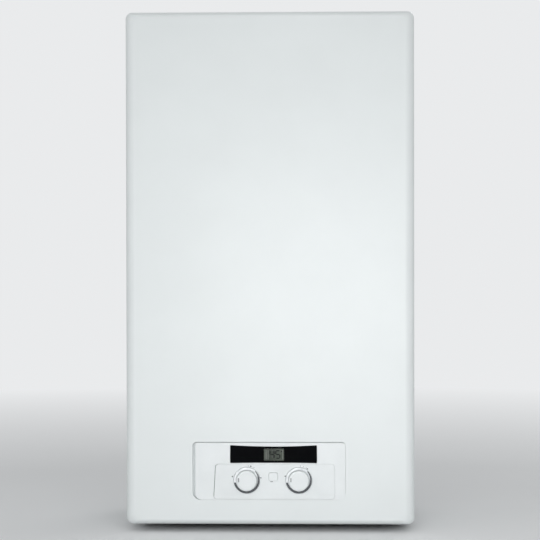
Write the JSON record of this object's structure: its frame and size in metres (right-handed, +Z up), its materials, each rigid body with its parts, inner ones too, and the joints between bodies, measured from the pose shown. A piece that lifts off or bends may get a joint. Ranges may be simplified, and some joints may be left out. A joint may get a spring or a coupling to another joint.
{
  "type": "combi boiler",
  "caption": "White wall-hung, room-sealed gas combi boiler with a hinged front cover, control panel, heat cell, fan, pump and water groups.",
  "frame": {"origin": "Middle of the wall bracket's rear face, which lies on the wall", "axes": "+X to the right as the front is seen, +Y back into the wall, +Z up"},
  "size_m": [0.394, 0.289, 0.716],
  "materials": {
    "white_paint": "satin powder coat",
    "galvanised": "galvanised sheet",
    "aluminium": "cast",
    "copper": "copper, drawn",
    "brass": "cast",
    "steel": "plain",
    "chrome": "polished",
    "white_plastic": "fine satin",
    "grey_plastic": "moulded",
    "black_plastic": "moulded",
    "red_plastic": "moulded",
    "blue_plastic": "moulded",
    "dark_glass": "polished",
    "lcd": "satin",
    "board": "lacquered board",
    "rubber": "matt",
    "ceramic_fibre": "pressed fibre",
    "ceramic": "glazed",
    "red_enamel": "enamelled",
    "black_paint": "cathodic coating"
  },
  "bodies": {
    "casing": {"wall_bracket": "galvanised", "back_frame": "galvanised", "top_plate": "white_paint", "side_panel_left": "white_paint", "side_panel_right": "white_paint", "control_box": "grey_plastic", "control_fascia": "white_plastic", "control_insert": "white_plastic", "display_window": "dark_glass", "lcd_module": "lcd", "heating_knob_ring": "chrome", "hot_water_knob_ring": "chrome", "heating_potentiometer": "black_plastic", "hot_water_potentiometer": "black_plastic", "circuit_board": "board", "transformer": "steel", "cable_gland": "black_plastic", "chamber_housing": "galvanised", "chamber_seal": "rubber", "chamber_cover": "galvanised", "flue_collar": "aluminium", "fan_housing": "aluminium", "fan_motor": "black_paint", "flue_hood": "galvanised", "air_pressure_switch": "grey_plastic", "pressure_hose": "rubber", "combustion_chamber": "galvanised", "chamber_insulation": "ceramic_fibre", "heat_exchanger": "copper", "burner": "steel", "gas_manifold": "aluminium", "ignition_electrode": "ceramic", "expansion_vessel": "red_enamel", "flow_hydraulic_block": "brass", "return_hydraulic_block": "brass", "plate_heat_exchanger": "steel", "diverter_motor": "black_plastic", "pump_body": "black_paint", "pump_motor": "grey_plastic", "safety_valve": "brass", "air_vent": "brass", "gas_inlet_pipe": "brass", "gas_valve": "aluminium", "burner_gas_pipe": "copper", "flow_pipe": "copper", "return_pipe": "copper", "expansion_pipe": "copper"},
    "front_cover": {"front_cover": "white_paint", "cover_screw_left": "steel", "cover_screw_right": "steel"},
    "heating_knob": {"heating_knob": "white_plastic"},
    "hot_water_knob": {"hot_water_knob": "white_plastic"},
    "reset_button": {"reset_button": "white_plastic"},
    "fan_impeller": {"fan_impeller": "aluminium"},
    "pump_impeller": {"pump_impeller": "grey_plastic"},
    "flow_turbine": {"flow_turbine": "white_plastic"},
    "diverter_rod": {"diverter_rod": "steel"},
    "safety_valve_knob": {"safety_valve_knob": "red_plastic"},
    "filling_tap_handle": {"filling_tap_handle": "blue_plastic"},
    "air_vent_cap": {"air_vent_cap": "black_plastic"}
  },
  "joints": [
    {"name": "front_cover_swing", "type": "hinge", "parent": "casing", "child": "front_cover", "pos_m": [0, -0.222, 0.0794], "axis": [1, 0, 0], "range_deg": [-25, 0]},
    {"name": "heating_knob_turn", "type": "hinge", "parent": "casing", "child": "heating_knob", "pos_m": [-0.0318, -0.283, -0.559], "axis": [0, -1, 0], "range_deg": [-135, 135]},
    {"name": "hot_water_knob_turn", "type": "hinge", "parent": "casing", "child": "hot_water_knob", "pos_m": [0.0394, -0.283, -0.559], "axis": [0, -1, 0], "range_deg": [-135, 135]},
    {"name": "reset_button_press", "type": "slide", "parent": "casing", "child": "reset_button", "axis": [0, 1, 0], "range_m": [0, 0.002], "stiffness_N_per_m": 500, "springref_m": -0.001},
    {"name": "fan_impeller_spin", "type": "hinge", "parent": "casing", "child": "fan_impeller", "pos_m": [-0.032, -0.14, -0.008], "axis": [0, 1, 0], "continuous": true},
    {"name": "pump_impeller_spin", "type": "hinge", "parent": "casing", "child": "pump_impeller", "pos_m": [0.112, -0.08, -0.43], "axis": [0, 1, 0], "continuous": true},
    {"name": "flow_turbine_spin", "type": "hinge", "parent": "casing", "child": "flow_turbine", "pos_m": [0.067, -0.1, -0.552], "axis": [0, 0, 1], "continuous": true},
    {"name": "diverter_rod_lift", "type": "slide", "parent": "casing", "child": "diverter_rod", "axis": [0, 0, 1], "range_m": [-0.008, 0], "stiffness_N_per_m": 200, "springref_m": 0.003},
    {"name": "safety_valve_knob_turn", "type": "hinge", "parent": "casing", "child": "safety_valve_knob", "pos_m": [0.167, -0.131, -0.554], "axis": [0, -1, 0], "range_deg": [0, 90]},
    {"name": "filling_tap_turn", "type": "hinge", "parent": "casing", "child": "filling_tap_handle", "pos_m": [0.1005, -0.1, -0.61], "axis": [0, 0, 1], "range_deg": [0, 90]},
    {"name": "air_vent_cap_turn", "type": "hinge", "parent": "casing", "child": "air_vent_cap", "pos_m": [0.078, -0.08, -0.3332], "axis": [0, 0, 1], "range_deg": [0, 180]}
  ]
}
